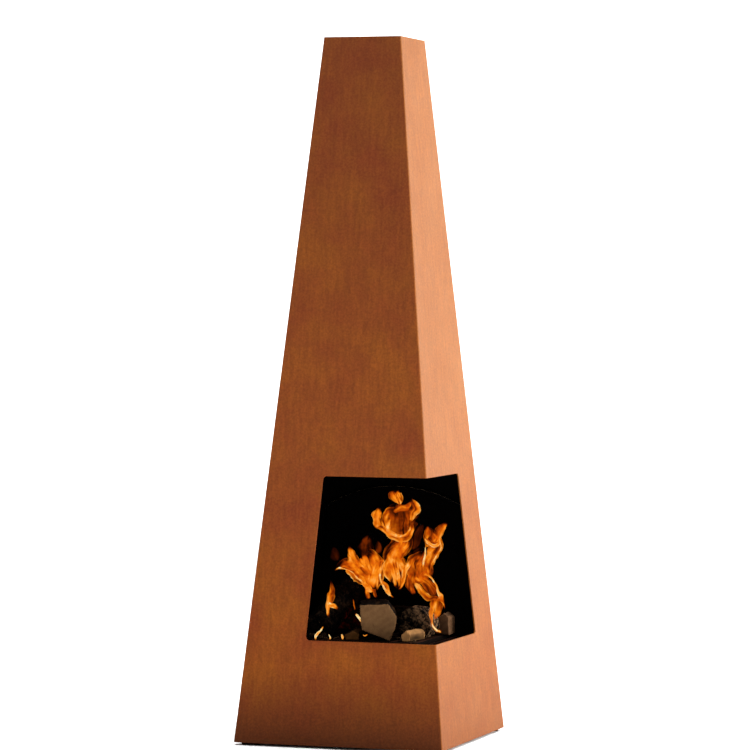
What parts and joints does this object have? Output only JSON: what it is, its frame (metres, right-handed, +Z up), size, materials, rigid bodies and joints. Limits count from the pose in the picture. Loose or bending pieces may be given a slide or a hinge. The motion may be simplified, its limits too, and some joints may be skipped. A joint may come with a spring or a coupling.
{
  "type": "outdoor fireplace",
  "caption": "Tall free-standing outdoor fireplace: a tapering square casing of folded rusted steel, cut open round one corner over a grate with logs, a lift-out ash tray and an open flue.",
  "frame": {"origin": "on the ground, under the middle of the casing's footprint", "axes": "+Z up; the two show faces look along -Y and +X, and the open corner points between them"},
  "size_m": [0.462, 0.462, 1.5],
  "materials": {
    "weathering_steel": "matte",
    "heat_resistant_black": "matte",
    "cast_iron": "matte",
    "zinc_plated_steel": "satin",
    "sawn_wood": "matte",
    "charred_wood": "matte"
  },
  "bodies": {
    "casing": {"front_shell": "weathering_steel", "rear_shell": "weathering_steel", "base_ring": "weathering_steel", "hearth_ledge_front": "weathering_steel", "hearth_ledge_right": "weathering_steel", "hearth_ledge_rear": "weathering_steel", "hearth_ledge_left": "weathering_steel", "hearth_plate": "heat_resistant_black", "foot_pad_open": "heat_resistant_black", "foot_pad_left": "heat_resistant_black", "foot_pad_rear": "heat_resistant_black", "foot_pad_right": "heat_resistant_black", "foot_nut_open": "zinc_plated_steel", "foot_nut_left": "zinc_plated_steel", "foot_nut_rear": "zinc_plated_steel", "foot_nut_right": "zinc_plated_steel", "fireback_left": "cast_iron", "fireback_rear": "cast_iron", "fireback_bolt_left_1": "zinc_plated_steel", "fireback_bolt_left_2": "zinc_plated_steel", "fireback_bolt_rear_1": "zinc_plated_steel", "fireback_bolt_rear_2": "zinc_plated_steel", "fireback_spacer_left_1": "zinc_plated_steel", "fireback_spacer_left_2": "zinc_plated_steel", "fireback_spacer_rear_1": "zinc_plated_steel", "fireback_spacer_rear_2": "zinc_plated_steel", "fireback_nut_left_1": "zinc_plated_steel", "fireback_nut_left_2": "zinc_plated_steel", "fireback_nut_rear_1": "zinc_plated_steel", "fireback_nut_rear_2": "zinc_plated_steel", "seam_screw_left_1": "zinc_plated_steel", "seam_screw_left_2": "zinc_plated_steel", "seam_screw_left_3": "zinc_plated_steel", "seam_screw_left_4": "zinc_plated_steel", "seam_screw_rear_1": "zinc_plated_steel", "seam_screw_rear_2": "zinc_plated_steel", "seam_screw_rear_3": "zinc_plated_steel", "seam_screw_rear_4": "zinc_plated_steel", "seam_nut_left_1": "zinc_plated_steel", "seam_nut_left_2": "zinc_plated_steel", "seam_nut_left_3": "zinc_plated_steel", "seam_nut_left_4": "zinc_plated_steel", "seam_nut_rear_1": "zinc_plated_steel", "seam_nut_rear_2": "zinc_plated_steel", "seam_nut_rear_3": "zinc_plated_steel", "seam_nut_rear_4": "zinc_plated_steel"},
    "ash_tray": {"ash_tray": "heat_resistant_black", "tray_tab_left": "heat_resistant_black", "tray_tab_right": "heat_resistant_black"},
    "grate": {"grate": "cast_iron", "log_pale": "sawn_wood", "log_charred": "charred_wood", "log_back": "charred_wood", "log_leaning": "charred_wood", "log_small": "sawn_wood", "stick_left": "charred_wood", "stick_right": "sawn_wood"}
  },
  "joints": [
    {"name": "tray_lift", "type": "slide", "parent": "casing", "child": "ash_tray", "axis": [0.646, -0.646, 0.4067], "range_m": [0, 0.6]},
    {"name": "grate_lift", "type": "slide", "parent": "ash_tray", "child": "grate", "axis": [0.646, -0.646, 0.4067], "range_m": [0, 0.6]}
  ]
}
